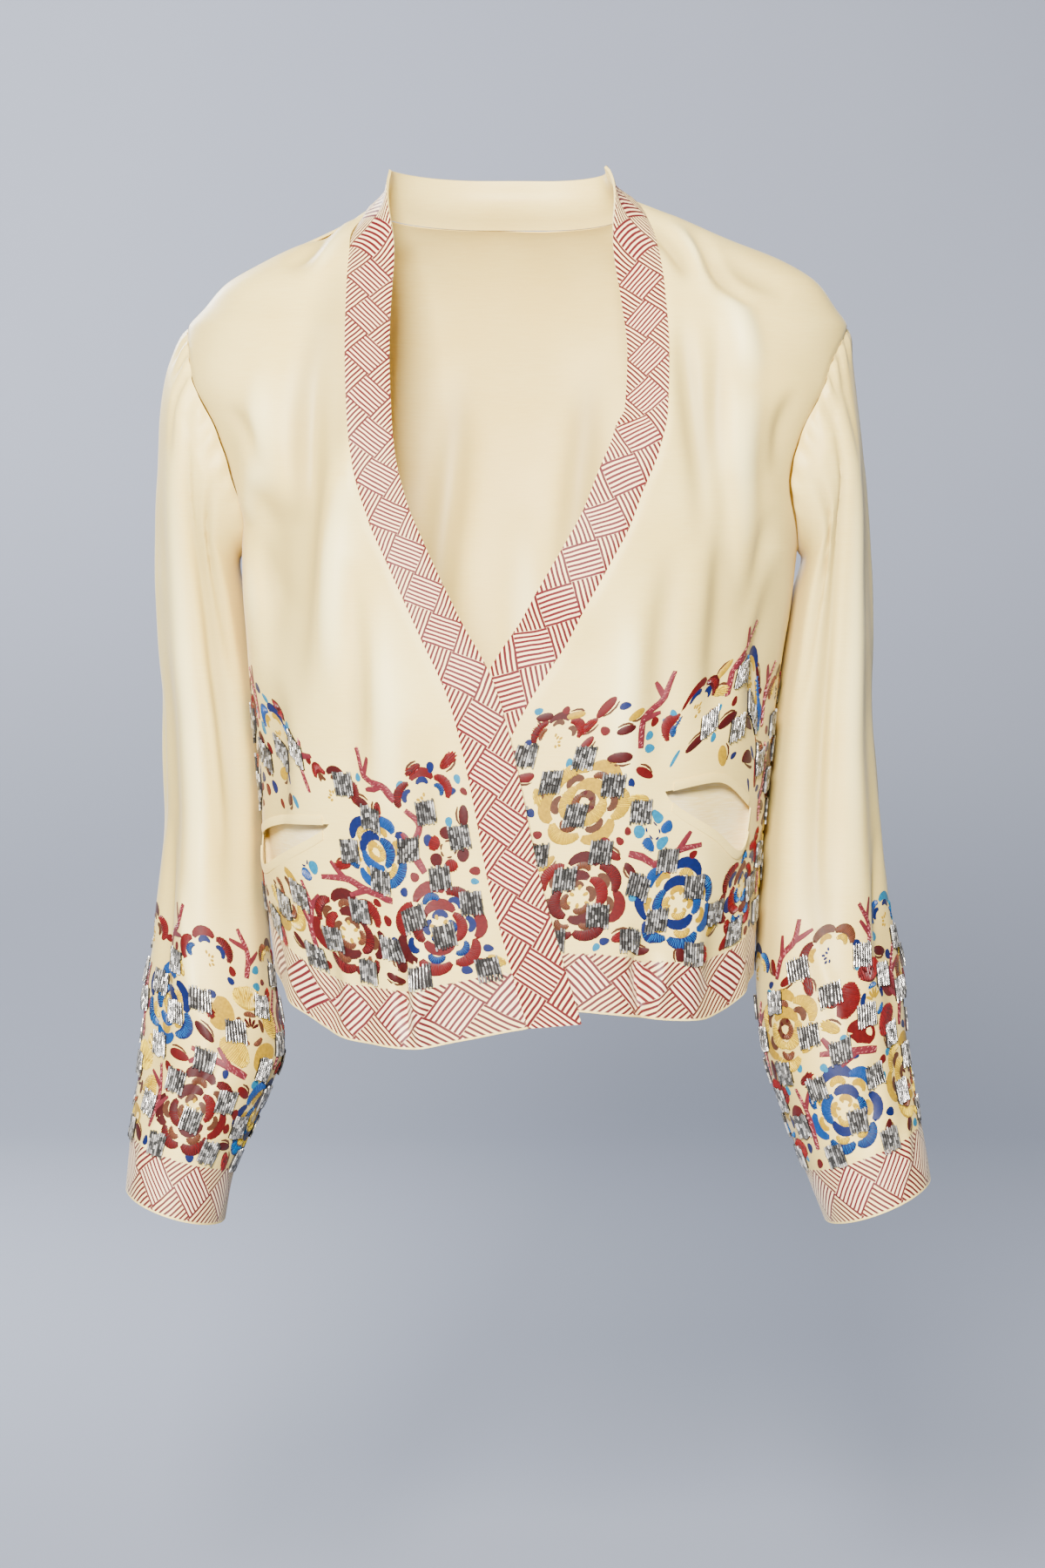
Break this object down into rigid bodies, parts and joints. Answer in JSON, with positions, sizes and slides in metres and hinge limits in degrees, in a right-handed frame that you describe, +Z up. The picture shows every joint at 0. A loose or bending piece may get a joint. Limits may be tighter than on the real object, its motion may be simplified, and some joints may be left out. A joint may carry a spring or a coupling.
{
  "type": "silk cardigan",
  "caption": "Wrap-front silk cardigan in hollow worn form, with long set-in sleeves, printed front and neck bands, slit pockets and an embroidered, beaded border.",
  "frame": {"origin": "between the wearer's shoulders, in the middle of the neck opening at the height of the shoulder seams", "axes": "+Z up along the wearer's trunk, +Y towards the wearer's back, +X to the wearer's left"},
  "size_m": [0.539, 0.2453, 0.7007],
  "materials": {
    "cream_silk": "soft satin silk",
    "printed_band": "printed silk"
  },
  "bodies": {
    "root": {"back": "cream_silk", "front_left": "cream_silk", "front_right": "cream_silk", "sleeve_left": "cream_silk", "sleeve_right": "cream_silk", "pocket_bag_left": "cream_silk", "pocket_bag_right": "cream_silk", "pocket_edge_left_lower": "cream_silk", "pocket_edge_left_upper": "cream_silk", "pocket_edge_right_lower": "cream_silk", "pocket_edge_right_upper": "cream_silk", "front_band_left": "printed_band", "front_band_right": "printed_band", "neck_band_back": "printed_band"}
  },
  "joints": []
}
